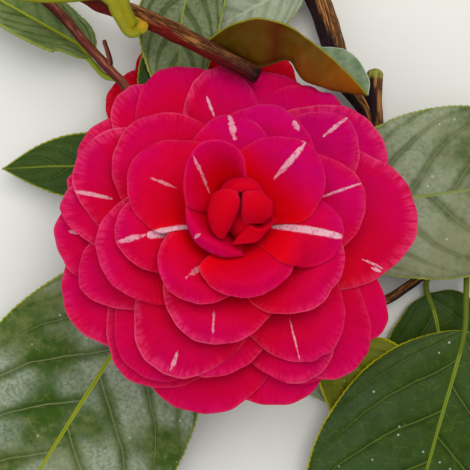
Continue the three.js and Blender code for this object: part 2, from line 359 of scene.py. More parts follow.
# turn in degrees, reach and width, from the back ring to the heart
petals = {
    "a2": (289, 43, 36), "a1": (256, 44.5, 36), "a15": (304, 41.5, 30), "a14": (328, 43, 26),
    "a3": (203, 45.5, 38), "a3b": (233.5, 43.5, 33), "a4": (179, 45.5, 30), "a5": (163, 45.5, 24),
    "a6": (145, 47.3, 30), "a7": (126, 49, 24), "a10": (78, 45.5, 40), "a8": (111, 49, 30),
    "a11": (59, 45.5, 30), "a12": (40, 46.5, 34), "b1": (312, 43.8, 30), "a13": (10.5, 46.6, 36.5),
    "b15": (234, 41.5, 30), "b2": (297.5, 40, 26), "b4": (256, 36, 30), "b5": (197, 40, 24),
    "b3": (243, 38.5, 29), "b6": (168, 44.5, 23), "b10": (46, 41.5, 25), "b7": (151, 45.2, 31),
    "b9": (96, 45.5, 22), "b8": (135, 38, 30), "b14": (306.5, 37.2, 26), "b11": (17, 32.5, 27),
    "c9": (70, 32, 28), "c2": (192, 33.7, 29.5), "c1": (257, 29, 27), "b13": (327, 28, 28),
    "c8": (93, 26.5, 22), "c3": (185, 28.5, 21), "c4": (232, 22.5, 21), "c5": (288, 19, 23),
    "c6": (352, 25.5, 19), "c7": (44, 25.5, 23), "d1": (147, 28.8, 24),
}
# how far a margin rolls down, on the clockwise and the other side, and a notch at the tip
petalWays = {
    "a5": (1.5, 0, 0.05), "a6": (0.4, 1.2, 0), "a8": (0, 2.2, 0), "b9": (0, 2, 0.03),
    "b3": (1.8, 0, 0), "c2": (2.0, 0, 0), "b7": (0, 1.2, 0), "c1": (1.5, 0, 0), "b14": (1.2, 0, 0.03),
    "a13": (0, 1.4, 0), "b13": (0, 0.8, 0.04), "a15": (0, 0, 0.05), "a11": (0, 0, 0.04),
    "c4": (1.0, 0, 0), "b1": (0, 0.6, 0), "a7": (0, 1, 0), "b6": (1, 0, 0), "a3b": (0.8, 0, 0),
}
# how strongly a margin is paled, partly its own paler colour and partly painted highlight where the
# rolled margin catches the light, and on which side of the tip in degrees
petalPales = {
    "a3": (0.45, 0), "a3b": (0.35, -40), "a4": (0.45, 0), "a5": (0.6, 0), "a6": (0.75, 0),
    "a7": (0.8, 50), "a12": (0.75, 0), "a13": (1, 0), "b1": (0.3, 20), "b2": (0.6, -10),
    "b4": (0.4, 0), "b5": (0.5, 30), "b3": (0.95, -45), "b15": (0.1, -40), "b6": (0.8, 30),
    "b10": (0.5, -40), "b7": (1, -40), "b9": (1, 60), "b8": (0.55, 10), "b14": (0.4, -30),
    "b11": (0.45, 0), "c2": (0.85, -35), "c3": (0.5, -30), "b13": (0.75, 20), "c1": (0.85, -40),
    "c4": (0.6, -50), "c5": (0.3, 0), "d1": (0.2, 0),
}
petalLayers = ("petalNumber", "margin", "pale")


def petalPlace(look, order, petal, ways=(0, 0, 0)):
    turn, reach, width = petal
    rollLow, rollHigh, notch = ways
    foot = -look["depth"] + look["footStep"] * order
    fall = (min(reach, look["reach"]) / look["reach"]) ** 1.5
    tip = look["dome"] * (1 - fall) + look["tipStep"] * order
    bend = look["wrap"] / reach
    spin = Matrix.Rotation(math.radians(turn), 3, "Z")
    dice = random.Random(look["seed"] + order)
    phases = [dice.uniform(0, 2 * math.pi) for _ in range(4)]
    sizes = [dice.uniform(0.5, 1) for _ in range(4)]

    def place(s, t):
        x, y = toDisc(s, t)
        rim = math.hypot(x, y)
        angle = math.atan2(y, x)
        margin = smoothstep(rim, 0.6, 1)
        ripple = sizes[0] * math.sin(3 * angle + phases[0]) + sizes[1] * math.sin(7 * angle + phases[1])
        ripple += 0.4 * math.sin(17 * angle + phases[2])
        dent = notch * math.exp(-((angle - 0.12 * math.sin(phases[3])) / 0.13) ** 2)
        grow = 1 + (look["ripple"] * ripple - dent) * smoothstep(rim, 0.5, 1)
        along = 0.5 * (1 + x * grow)
        side = 0.5 * width * (0.5 + 0.5 * smoothstep(along, 0, 0.5)) * y * grow
        outward = lerp(look["footRadius"], reach, along) - (1 - math.cos(bend * side)) / bend
        sideways = math.sin(bend * side) / bend
        share = clamp(math.hypot(outward, sideways) / reach)
        climb = foot + (tip - foot) * (1 - (1 - share) ** look["steep"])
        climb -= look["droop"] * margin * smoothstep(along, 0.3, 0.8)
        rolled = rollLow * smoothstep(-y, 0.5, 1) + rollHigh * smoothstep(y, 0.5, 1)
        climb -= rolled * smoothstep(along, 0.35, 0.8)
        wave = sizes[2] * math.sin(4 * angle + phases[2])
        wave += 0.5 * sizes[3] * math.sin(9 * angle + phases[3])
        climb += look["wave"] * margin * smoothstep(along, 0.4, 0.9) * wave
        bulge = math.exp(-(y / 0.5) ** 2) * smoothstep(along, 0.4, 0.75) * (1 - margin)
        groove = math.exp(-(y / 0.09) ** 2) * smoothstep(along, 0.3, 0.6)
        groove *= 1 - smoothstep(along, 0.85, 1)
        climb += look["bulge"] * bulge - look["groove"] * groove
        return spin @ Vector((outward, sideways, climb))

    return place


def addPetal(bm, look, place, number, rest=True, pale=None):
    under = BVHTree.FromBMesh(bm) if rest and len(bm.faces) else None
    spots = addGrid(bm, look["grid"])
    down = Vector((0, 0, -1))
    above = 80  # higher than any petal
    needed = {}
    for vert, (s, t) in spots.items():
        vert.co = place(s, t)
        needed[vert] = 0.0
        if under:
            hit = under.ray_cast(Vector((vert.co.x, vert.co.y, above)), down)[0]
            if hit:
                needed[vert] = max(0.0, hit.z + look["clearance"] - vert.co.z)
    # a petal that would cut through those below it rides up over them
    if under:
        near = {vert: [edge.other_vert(vert) for edge in vert.link_edges] for vert in spots}
        for _ in range(2):
            needed = {vert: max([needed[vert]] + [0.93 * needed[v] for v in near[vert]])
                      for vert in spots}
        lift = dict(needed)
        for _ in range(14):
            lift = {vert: max(needed[vert], 0.97 * sum(lift[v] for v in near[vert]) / len(near[vert]))
                    for vert in spots}
        for vert in spots:
            vert.co.z += lift[vert]
    numberLayer, marginLayer, paleLayer = (bm.verts.layers.float[layer] for layer in petalLayers)
    strength, side = pale or look["pale"]
    turned = {}
    for vert, (s, t) in spots.items():
        x, y = toDisc(s, t)
        vert[numberLayer] = number
        vert[marginLayer] = math.hypot(x, y)
        vert[paleLayer] = strength * (0.45 + 0.55 * math.cos(math.atan2(y, x) - math.radians(side)))
        turned[vert] = (0.5 + 0.5 * y, 0.5 + 0.5 * x)
    setUv(bm, "petal", turned)


# colours, the place and reach of the purple cast that is painted sky reflection, how many strokes run
# round a petal, and how strong its mottling, fine lines and pale margin are, the pale margin being
# partly its own colour and partly painted highlight;
# then the petal numbers between which the heart begins, and above which a petal is all red
petalLook = {
    "foot": (0.64, 0.0, 0.005), "middle": (0.535, 0.0, 0.032), "tip": (0.515, 0.0, 0.078),
    "deep": (0.33, 0.0, 0.012), "flush": (0.55, 0.0, 0.006), "skyReflection": (0.46, 0.0, 0.115),
    "pale": (0.70, 0.045, 0.155), "edge": (0.72, 0.09, 0.18), "white": (0.72, 0.43, 0.48),
    "whiteFade": (0.60, 0.15, 0.28), "skyReflectionPlace": (15, 24), "skyReflectionReach": 26, "strokes": 19.0,
    "mottle": 0.4, "lines": 0.24, "paleAndLitMargin": 0.6, "relief": 0.00018,
    "heartStarts": (45.0, 49.0), "redStarts": (51.3, 51.8),
}
# streaks: the petal, where it starts and ends, its width, how blunt its ends are, its bend, how
# torn its margin is, and its strength
streaks = [
    ("c3", (-28.4, -1.9), (-20.2, 0.2), 1.5, 0.8, 0.1, 2.0, 0.6),
    ("c3", (-20.6, -0.1), (-12.0, 1.4), 2.6, 0.2, 0.0, 0.5, 0.9),
    ("d1", (-20.6, -0.1), (-11.0, 1.6), 2.6, 0.2, 0.0, 0.5, 0.9),
    ("c6", (8.2, 2.2), (25.0, -0.5), 2.1, 0.22, 0.35, 0.45, 0.9),
    ("c7", (8.8, 12.8), (17.2, 22.4), 1.7, 0.75, -0.15, 1.3, 0.75),
    ("c7", (15.6, 22.2), (18.2, 22.9), 1.0, 0.7, 0.0, 2.4, 0.55),
    ("b9", (-7.3, 35.6), (-5.2, 29.9), 0.9, 0.6, 0.0, 1.0, 0.75),
    ("c8", (-1.6, 29.8), (-0.2, 22.2), 1.6, 0.6, 0.2, 2.8, 0.6),
    ("c9", (14.3, 28.2), (15.6, 25.2), 1.8, 0.9, 0.0, 1.6, 0.6),
    ("b10", (22.0, 24.6), (29.2, 30.2), 1.1, 0.5, 0.1, 2.4, 0.7),
    ("a12", (22.0, 24.6), (29.2, 30.2), 1.1, 0.5, 0.1, 2.4, 0.7),
    ("b11", (20.0, 8.8), (32.6, 13.2), 0.7, 0.6, 0.2, 1.4, 0.7),
    ("b7", (-41.0, 11.0), (-30.3, 8.9), 1.2, 0.5, 0.3, 1.4, 0.65),
    ("d1", (-20.4, 13.6), (-13.8, 11.1), 0.8, 0.7, 0.2, 2.2, 0.5),
    ("d2", (-9.6, 18.3), (-5.9, 9.6), 0.9, 0.5, 0.2, 3.0, 0.6),
    ("c4", (-11.3, -9.8), (-7.2, -6.6), 1.4, 0.9, 0.0, 3.0, 0.4),
    ("c1", (-4.8, -17.0), (-5.1, -23.4), 0.6, 0.6, 0.0, 3.2, 0.5),
    ("b3", (-13.4, -27.0), (-15.4, -32.2), 1.1, 0.6, 0.2, 2.0, 0.6),
    ("b14", (12.9, -19.6), (15.4, -29.6), 0.6, 0.6, -0.3, 1.8, 0.6),
    ("a13", (31.2, -5.9), (36.8, -8.4), 0.7, 0.5, 0.2, 1.6, 0.75),
    ("a13", (33.5, -8.0), (36.2, -9.1), 0.9, 0.5, 0.0, 1.8, 0.75),
    ("a5", (-44.8, 16.6), (-40.4, 16.0), 1.4, 0.4, 0.0, 1.2, 0.8),
    ("a4", (-41.8, 1.0), (-38.8, 0.6), 1.2, 0.5, 0.0, 1.6, 0.7),
    ("d4", (-9.3, -0.9), (-7.7, 0.4), 0.8, 0.6, 0.2, 1.8, 0.6),
]


def petalFinish(look, marks):
    paint = Finish("petal", Specular_IOR_Level=0.02, Sheen_Weight=0.05, Sheen_Roughness=0.5,
                   Sheen_Tint=(0.9, 0.02, 0.4, 1), Subsurface_Weight=0.5,
                   Subsurface_Radius=(1.0, 0.1, 0.15), Subsurface_Scale=0.0016)
    spot = paint.object()
    disc = paint.uv("petal")
    _, along, _ = paint.parts(disc)
    margin = paint.attribute("margin")
    number = paint.attribute("petalNumber")
    paleAndLitMargin = paint.attribute("pale")
    x, y, _ = paint.parts(spot)
    # the colour runs from foot to tip, partly the petal's own colour and partly painted light: the
    # brighter red foot stands in for the shade and red light under the petals above, the bluer tip for
    # the sky it faces
    colour = paint.ramp(along, (0.42, look["foot"]), (0.71, look["middle"]), (0.96, look["tip"]))
    # painted sky reflection: a bluer, purple cast round a fixed place, where the petals face the sky
    middle = toPart @ Vector((*look["skyReflectionPlace"], 0))
    dx, dy = x - middle.x, y - middle.y
    far = (dx * dx + dy * dy) ** 0.5
    reach = look["skyReflectionReach"] * mm
    skyReflection = (1 - far.step(0.3 * reach, 1.3 * reach)) * along.step(0.4, 0.8)
    heartward = number.step(*look["heartStarts"])
    mottle = paint.grain(spot, 90.0, 3.0)
    # fine strokes that run out to the margin
    centred = paint.vector("SUBTRACT", disc, (0.5, 0.5, 0.0))
    layer = paint.node("ShaderNodeCombineXYZ", {}, {"Z": margin * 5 + number * 3.7})
    strokeSpot = paint.vector("MULTIPLY_ADD", paint.vector("NORMALIZE", centred),
                              (look["strokes"], look["strokes"], 0.0), layer)
    strokes = paint.grain(strokeSpot, 1.0, 3.0, 0.6)
    patches = paint.grain(spot, 120.0, 2.0)
    lines = (1 - strokes.step(0.32, 0.58)) * along.step(0.35, 0.6)
    inner = margin + patches * 0.15 + paleAndLitMargin * 0.05
    # paler band inside the margin: partly the petal's own colour, partly painted highlight on the
    # rolled margin
    band = inner.step(0.94, 1.08) * (strokes.step(0.40, 0.60) * 0.85 + 0.15)
    # thin lighter line on the margin: partly its own paler edge, partly painted highlight where the
    # margin catches the light
    rim = margin.step(0.965, 0.995) * patches.step(0.30, 0.62) * (strokes.step(0.3, 0.5) * 0.3 + 0.7)
    rim *= (paleAndLitMargin * 0.75 + 0.06) * (1 - heartward * 0.6)
    height = strokes * 0.4 * margin.step(0.3, 1.0) + paint.grain(spot, 420.0, 2.0) * 0.35
    ragged = paint.grain(spot, 750.0, 3.0, 0.6) - 0.5
    white = reduce(Wire.most, [streakMask(paint, spot, number, ragged, *mark) for mark in marks])
    fleck = paint.grain(spot, 900.0, 2.0, 0.7)
    streakColour = paint.blend(fleck.step(0.30, 0.55), look["whiteFade"], look["white"])
    colour = paint.coats(colour, (skyReflection * (0.8 - heartward * 0.75), look["skyReflection"]),
                         (mottle.step(0.38, 0.72) * look["mottle"], look["flush"]),
                         (number.step(*look["redStarts"]) * 0.9, look["flush"]),
                         (lines * look["lines"], look["deep"]),
                         (band * paleAndLitMargin * look["paleAndLitMargin"], look["pale"]), (rim, look["edge"]),
                         (white, streakColour))
    return paint.finish(colour, 0.55 + mottle * 0.2, height, look["relief"])


def streakMask(paint, spot, number, ragged, petal, start, end, width, blunt, bend, torn, strength):
    dx, dy = end[0] - start[0], end[1] - start[1]
    origin = toPart @ Vector((*start, 0))
    place = paint.node("ShaderNodeMapping", {"vector_type": "TEXTURE"}, {
        "Vector": spot, "Location": (origin.x, origin.y, 0), "Rotation": (0, 0, math.atan2(dy, dx)),
        "Scale": (math.hypot(dx, dy) * mm, 0.5 * width * mm, 1)})
    u, v, _ = paint.parts(place)
    inside = (u * (1 - u) * 4).most(0.0)
    edge = inside ** blunt + ragged * torn - abs(v - inside * bend)
    same = number.maths("COMPARE", number, petalNumber[petal], 0.3)
    return edge.step(0.0, 0.35) * same * inside.step(0.0, 0.06) * strength


petalNumber = {name: order for order, name in enumerate(petals)}
petalNumber.update({"d2": 50, "d4": 51, "d5": 52, "budLeft": 53, "budRight": 54, "budBack": 55,
                    "budInner": 56})
petalMaterial = petalFinish(petalLook, streaks)

bloomMesh = newMesh(*petalLayers)
for order, (name, petal) in enumerate(petals.items()):
    place = petalPlace(bloom, order, petal, petalWays.get(name, (0, 0, 0)))
    addPetal(bloomMesh, bloom, place, order, pale=petalPales.get(name))
finishPiece("bloomPetals", bloomMesh, petalMaterial, "petals", ["bloom"], seated(bloom),
            bloom["thickness"])


# each heart petal is drawn by guide curves from its foot, out over its crest, to its margin
heart = {
    "grid": (26, 34), "thickness": 0.4,
    "d2": [
        [(-3, 5.8, 42), (-3.5, 8.2, 42), (-3, 10, 42), (-1.6, 11, 42), (-0.2, 11.5, 42),
         (1.2, 11.5, 42), (2.2, 10.5, 42)],
        [(-6.8, 5.2, 47.5), (-7.8, 10.6, 49.5), (-6.6, 15, 51), (-4.1, 17.4, 51.6),
         (-1.1, 17.4, 51.8), (1.2, 15.6, 51.6), (2.4, 12.8, 51)],
        [(-11.3, 6, 51), (-11.8, 11.4, 53.4), (-10.8, 16.9, 54.8), (-7.5, 21, 55.5),
         (-2.3, 21.3, 55.6), (1.7, 18.4, 54.4), (2.7, 13.6, 52)],
    ],
    "d4": [
        [(-3, 5.2, 43), (-3, 3, 43), (-1.6, 1.2, 43), (0.3, 0.2, 43), (2, -0.2, 43)],
        [(-10.4, 6.7, 49.5), (-6.8, 3, 50), (-4.8, 0.9, 50), (-1.7, -0.8, 50), (1.8, -3.6, 49.5)],
        [(-11.2, 6.8, 51.6), (-9.3, 2.7, 54.2), (-7.2, 0, 54.8), (-3.8, -2.1, 54.5), (1.7, -4.4, 51.8)],
        [(-11.5, 6.6, 51.4), (-10.9, 2, 53), (-8.4, -2.3, 53.4), (-3.1, -5, 53), (2.3, -4.9, 51)],
    ],
    "d5": [
        [(0.3, 0.2, 48), (3, 3.4, 48), (5.3, 3, 48), (7.1, 3.4, 48), (8.8, 4.4, 48)],
        [(0, -1.2, 52.8), (2.9, 2.3, 54.4), (5, 1.4, 54.4), (6.8, 1.6, 54.2), (9.3, 3.5, 52.6)],
        [(-0.7, -2.3, 52.4), (1.8, -2, 53), (4.8, -1.6, 53), (7.5, 0.9, 52.8), (9.8, 3.5, 51.8)],
    ],
    "budBack": [
        [(-4.5, 9.1, 45), (-2.1, 12.8, 45), (1.9, 13.9, 45), (5.3, 12.6, 45), (7.2, 9.5, 45)],
        [(-4, 8.9, 53), (-1.7, 12, 53.6), (1.8, 13, 54), (4.9, 11.8, 53.6), (6.5, 8.8, 53)],
        [(-2.8, 8.4, 56.6), (-0.9, 10.8, 57.6), (1.8, 11.5, 58), (4.1, 10.7, 57.6), (5.5, 8.4, 56.6)],
        [(-1.6, 7.3, 56.8), (0, 9, 57.6), (1.8, 9.6, 57.8), (3.4, 9, 57.6), (4.5, 7.3, 56.8)],
    ],
    "budLeft": [
        [(-5.4, 8.4, 46), (-6.1, 4.8, 46), (-5.2, 0.8, 46), (-3.5, -0.9, 46)],
        [(-4.6, 9.3, 54.6), (-5.6, 5, 55), (-4.7, 1, 54.2), (-3.4, -0.6, 53)],
        [(-2.4, 10.2, 58), (-3, 5.8, 58.8), (-3.4, 1.8, 57), (-3.1, -0.5, 54.4)],
        [(-0.4, 10, 58.6), (-0.8, 6, 59), (-2, 2, 57.4), (-2.9, -0.5, 54.2)],
        [(0.4, 9.5, 57.6), (0.9, 6.8, 57.8), (-1, 2.4, 56.2), (-2.8, -0.6, 53.8)],
    ],
    "budRight": [
        [(6.4, 9.9, 46), (8.8, 7.8, 46), (8.6, 4.3, 46), (6.7, 2.2, 46)],
        [(6.4, 9.8, 54.8), (8.2, 7.4, 55), (7.9, 4.5, 54.6), (6.2, 2.6, 53.4)],
        [(4.9, 9.8, 58), (6.0, 7, 58.8), (5.8, 4.4, 57.8), (5.0, 2.6, 55.2)],
        [(2.6, 9.8, 58.6), (3.0, 6.8, 59.2), (2.9, 4.2, 58), (3.2, 2.6, 55.6)],
        [(1.5, 9.4, 57.8), (1.4, 6.6, 58.2), (1.4, 4.0, 57), (1.7, 2.4, 55)],
    ],
}
# the closed bud between them, with the line and depth of the fold across it
bud = {
    "name": "budInner", "middle": (1.5, 5.6, 49.6), "sizes": (3.9, 6.6, 6.2), "segments": (40, 28),
    "foldStart": (0.6, 5), "foldEnd": (1.2, -5), "foldDepth": 0.5, "lip": 0.35,
}


def guidePlace(guides):
    lines = [Path(places, 40) for places in guides]
    columns = {}

    def place(s, t):
        key = round(t, 4)
        if key not in columns:
            columns[key] = Path([line.at(0.5 + 0.5 * t) for line in lines], 40)
        return columns[key].at(0.5 + 0.5 * s)

    return place


def addBud(bm, look):
    numberLayer, marginLayer, _ = (bm.verts.layers.float[layer] for layer in petalLayers)
    around, upwards = look["segments"]
    made = bmesh.ops.create_uvsphere(bm, u_segments=around, v_segments=upwards, radius=1)["verts"]
    start, end = Vector(look["foldStart"]), Vector(look["foldEnd"])
    dx, dy = (end - start).normalized()
    turned = {}
    for vert in made:
        ball = vert.co.copy()
        point = Vector([ball[k] * look["sizes"][k] for k in range(3)])
        off = (point.x - start.x) * dy - (point.y - start.y) * dx
        high = smoothstep(ball.z, 0.0, 0.5)
        lip = look["lip"] * math.exp(-((off + 0.5) / 0.5) ** 2) * high
        sink = look["foldDepth"] * smoothstep(off, -0.1, 0.5) * high
        vert.co = Vector(look["middle"]) + point + Vector((0, 0, lip - sink))
        vert[numberLayer] = petalNumber[look["name"]]
        vert[marginLayer] = 0.9 * math.exp(-((off + 0.3) / 0.35) ** 2) * high
        turned[vert] = (0.5 + 0.5 * ball.x, 0.45 + 0.35 * ball.z)
    setUv(bm, "petal", turned)


heartMesh = newMesh(*petalLayers)
for name in ("d2", "d4", "d5", "budBack", "budLeft", "budRight"):
    look = dict(bloom, grid=heart["grid"])
    addPetal(heartMesh, look, guidePlace(heart[name]), petalNumber[name], rest=False)
finishPiece("heartPetals", heartMesh, petalMaterial, "petals", thickness=heart["thickness"])
budMesh = newMesh(*petalLayers)
addBud(budMesh, bud)
finishPiece("heartBuds", budMesh, petalMaterial, "petals")
print("large bloom")

# the small bloom behind: each ring is a count of petals, their share of the reach and their width
rear = {
    "reach": 29.5, "dome": 4.4, "depth": 4, "footRadius": 2, "footStep": 0.12, "tipStep": 0.05,
    "droop": 0.6, "seat": (-7.5, 28.5, 6.7), "tilt": 0, "thickness": 0.35, "clearance": 0.42,
    "grid": (18, 16), "wave": 0.35, "ripple": 0.015, "groove": 0.2, "bulge": 0.3, "seed": 90,
    # its margins are paled more than the large bloom's, partly as painted light that lifts the shade on
    # it
    "steep": 2.0, "wrap": 0.25, "pale": (0.4, 0), "firstNumber": 60,
    "rings": ((9, 1, 24), (6, 0.7, 21), (4, 0.4, 15)),
}
rearMesh = newMesh(*petalLayers)
rearCount = 0
for ring, (count, part, width) in enumerate(rear["rings"]):
    for k in range(count):
        petal = (360 * (k + 0.5 * ring) / count, part * rear["reach"], width)
        number = rear["firstNumber"] + rearCount
        addPetal(rearMesh, rear, petalPlace(rear, rearCount, petal), number)
        rearCount += 1
finishPiece("rearPetals", rearMesh, petalMaterial, "petals", ["rear_bloom"],
            seated(rear), rear["thickness"])
print("small bloom")


# what a limb has unless its own entry says otherwise: knots are shares of its length, cap is the cut
# end's length, then the length of the stretch before it that is darkened as a painted shadow, turn the
# side painted as lit, round and dome its end
limbShape = {"knots": (), "knotReach": 2.2, "knotSwell": 0.13, "cap": 0, "dusk": 0,
             "paintedShadowStrength": 0.85, "turn": 35, "round": 0.35, "dome": 0.45}
wood = {
    "stem": {
        "places": [(-86.6, 82.4, 3.4), (-71, 87, 3.6), (-49, 93, 4.5), (-21, 95, 5.5), (1.5, 90, 6.5),
                   (15.6, 77, 7), (22.9, 64.6, 7.5), (27.5, 50.8, 8), (31.5, 41.2, 8), (36.6, 33, 7),
                   (39.8, 21, 4.4), (40, 5.6, 2.5), (38.4, -9.8, 2.1), (35.5, -23, 2.4)],
        "radii": (3.5, 3.2, 3.2, 3.2, 2.0, 1.6), "grid": (340, 30), "relief": 0.28,
        "knots": (0.2, 0.37, 0.54, 0.69, 0.775, 0.88)},
    "frontTwig": {
        "places": [(-50, 70.5, 19), (-35.6, 60.8, 23.6), (-24.2, 55.9, 26.2), (-11.4, 49.6, 27.6),
                   (6.1, 40.3, 28.2)],
        "from": ("stem", 0.115), "radii": (2.7, 2.5, 2.1), "grid": (150, 30), "relief": 0.16,
        "knots": (0.5, 0.74), "cap": 1.7, "dusk": 20},
    "leftTwig": {
        "places": [(-58.9, 70.4, 8.5), (-48.4, 61, 9), (-39.3, 50.7, 11.5), (-33.1, 43.8, 14),
                   (-28.7, 38.8, 15.3), (-18.7, 22.7, 16), (-8, 5.3, 15.4), (0, -4.3, 14.4),
                   (5, -10, 13.6)],
        "from": ("stem", 0.055), "radii": (1.5, 1.35, 1.2, 1.1), "grid": (220, 20), "relief": 0.1,
        "knots": (0.45, 0.72, 0.83, 0.93)},
    "spur": {
        "places": [(-33.6, 47, 14), (-35.2, 52.3, 14)],
        "from": ("leftTwig", 0.47), "radii": (0.75, 0.6), "grid": (24, 16), "relief": 0.06},
    "rightTwig": {
        "places": [(42, -18, 4.5), (48.7, -13.6, 6), (56.6, -8, 6.5), (64.9, -6.3, 6.5)],
        "from": ("stem", 0.98), "radii": (1.4, 1.1), "grid": (70, 20), "relief": 0.1, "knots": (0.62,)},
    "stub": {
        "places": [(38, 38, 9), (38.2, 45.4, 10)],
        "from": ("stem", 0.775), "radii": (2.3, 2.25), "grid": (60, 28), "relief": 0.22,
        "turn": 165, "cap": 2.6, "round": 1.6, "dome": 0.985},
    "rearTwig": {
        "places": [(25, 31.5, 2.0), (12, 31.5, 1.3), (-3.3, 29.4, 1.15)],
        "from": ("stem", 0.76), "radii": (1, 0.9), "grid": (60, 16), "relief": 0.06},
}
limbLayers = ("weathered", "cap")
limbs = {}


def limbRadius(limb, u):
    radii = limb["radii"]
    place = clamp(u) * (len(radii) - 1)
    k = min(int(place), len(radii) - 2)
    return lerp(radii[k], radii[k + 1], smoothstep(place - k, 0, 1))


for name, limb in wood.items():
    places = limb["places"]
    if "from" in limb:
        bearer, u = limb["from"]
        places = [limbs[bearer].at(u)] + places
    limbs[name] = Path(places, 200)


def addLimb(bm, name):
    # a sheet rolled into a tube along the limb's curve, with furrowed bark, knots and closed ends
    limb, path = dict(limbShape, **wood[name]), limbs[name]
    spots = addGrid(bm, limb["grid"])
    weathered, capAndShadowLayer = (bm.verts.layers.float[layer] for layer in limbLayers)
    turned = {}
    for vert, (s, t) in spots.items():
        u, angle = 0.5 * (s + 1), math.pi * t
        left, over = across(path.along(u))
        c, s, run = math.cos(angle), math.sin(angle), u * path.length
        ring = Vector((2.2 * c, 2.2 * s, 0.16 * run))
        furrow = noise.noise(ring) + 0.5 * noise.noise(ring * 2.3)
        coarse = noise.noise(Vector((c, s, 0.09 * run)) * 1.3)
        knot = sum(math.exp(-((u - at) * path.length / limb["knotReach"]) ** 2) for at in limb["knots"])
        radius, away = limbRadius(limb, u), path.length - run
        end = math.sqrt(1 - limb["dome"] * clamp(1 - away / limb["round"]) ** 2)
        wide = radius * (1 + limb["knotSwell"] * knot) + limb["relief"] * (0.8 * furrow + 1.1 * coarse)
        vert.co = path.at(u) + (left * c + over * s) * wide * end
        # painted light: the side turned towards the light takes the bark colours, the rest the painted
        # shade colour
        vert[weathered] = math.cos(angle - math.radians(limb["turn"])) + 0.25 * coarse
        cap = smoothstep(limb["cap"] - away, -0.6, 0.6) if limb["cap"] else 0
        # painted shadow: the stretch before the cut end is darkened towards it
        dusk = clamp(1 - away / limb["dusk"]) if limb["dusk"] else 0
        vert[capAndShadowLayer] = max(cap, limb["paintedShadowStrength"] * dusk)
        turned[vert] = (angle * radius, run)
    setUv(bm, "bark", turned)


# ridge and bark are the lit side's colours and shade the painted shaded side; cap colours the cut end,
# and on the front twig also the painted shadow before it
barkLook = {
    "stem": {"ridge": (0.38, 0.165, 0.042), "bark": (0.12, 0.042, 0.013), "cap": (0.28, 0.27, 0.05),
             "shade": (0.016, 0.005, 0.010), "crack": (0.012, 0.005, 0.004)},
    "front": {"ridge": (0.32, 0.125, 0.030), "bark": (0.105, 0.028, 0.007),
              "cap": (0.022, 0.002, 0.003), "shade": (0.15, 0.001, 0.002),
              "crack": (0.035, 0.008, 0.004)},
    "left": {"ridge": (0.34, 0.115, 0.065), "bark": (0.24, 0.052, 0.022), "cap": (0.02, 0.01, 0.01),
             "shade": (0.11, 0.018, 0.018), "crack": (0.04, 0.018, 0.018)},
}
barkRelief = 0.0004


def barkFinish(name, look):
    paint = Finish(name, Specular_IOR_Level=0.12)
    spot = paint.object()
    strand = paint.stretched(paint.uv("bark"), (1.9, 0.13, 1.0))
    furrows = paint.grain(strand, 1.0, 5.0, 0.62, 0.5)
    fine = paint.grain(spot, 900.0, 3.0)
    patch = paint.grain(spot, 90.0, 3.0)
    # painted light: the lit side shows bark and ridges, the other side the painted shade colour
    weathered = (paint.attribute("weathered") + patch * 1.2 - 0.95).step(-0.25, 0.2)
    crack = 1 - abs(furrows - 0.5).step(0.0, 0.035)
    # the cut end's colour, and on the front twig the painted shadow before it
    cap = paint.attribute("cap") * (fine.step(0.62, 0.5) * 0.5 + 0.5)
    colour = paint.coats(look["shade"], (weathered, look["bark"]),
                         (furrows.step(0.48, 0.60) * (weathered * 0.95 + 0.05), look["ridge"]),
                         (crack * (weathered * 0.6 + 0.15), look["crack"]),
                         (fine.step(0.55, 0.75) * 0.3, look["crack"]), (cap, look["cap"]))
    height = furrows - crack * 0.3 + fine * 0.25
    return paint.finish(colour, 0.45 + furrows * 0.35, height, barkRelief)


# each piece's limbs, its colours and the nodes it stands for
woodGroups = {
    "stemBark": (("stem", "stub", "rearTwig"), "stem",
                 ("stem_foot", "stem_middle", "stem_tip", "rear_twig")),
    "frontTwigBark": (("frontTwig",), "front", ("front_twig",)),
    "leftTwigBark": (("leftTwig", "spur"), "left", ("left_twig",)),
    "rightTwigBark": (("rightTwig",), "stem", ("right_twig",)),
}
for name, (members, lookName, nodes) in woodGroups.items():
    woodMesh = newMesh(*limbLayers)
    for member in members:
        addLimb(woodMesh, member)
    closeTubes(woodMesh)
    finishPiece(name, woodMesh, barkFinish(name, barkLook[lookName]), "bark", nodes)
print("wood")


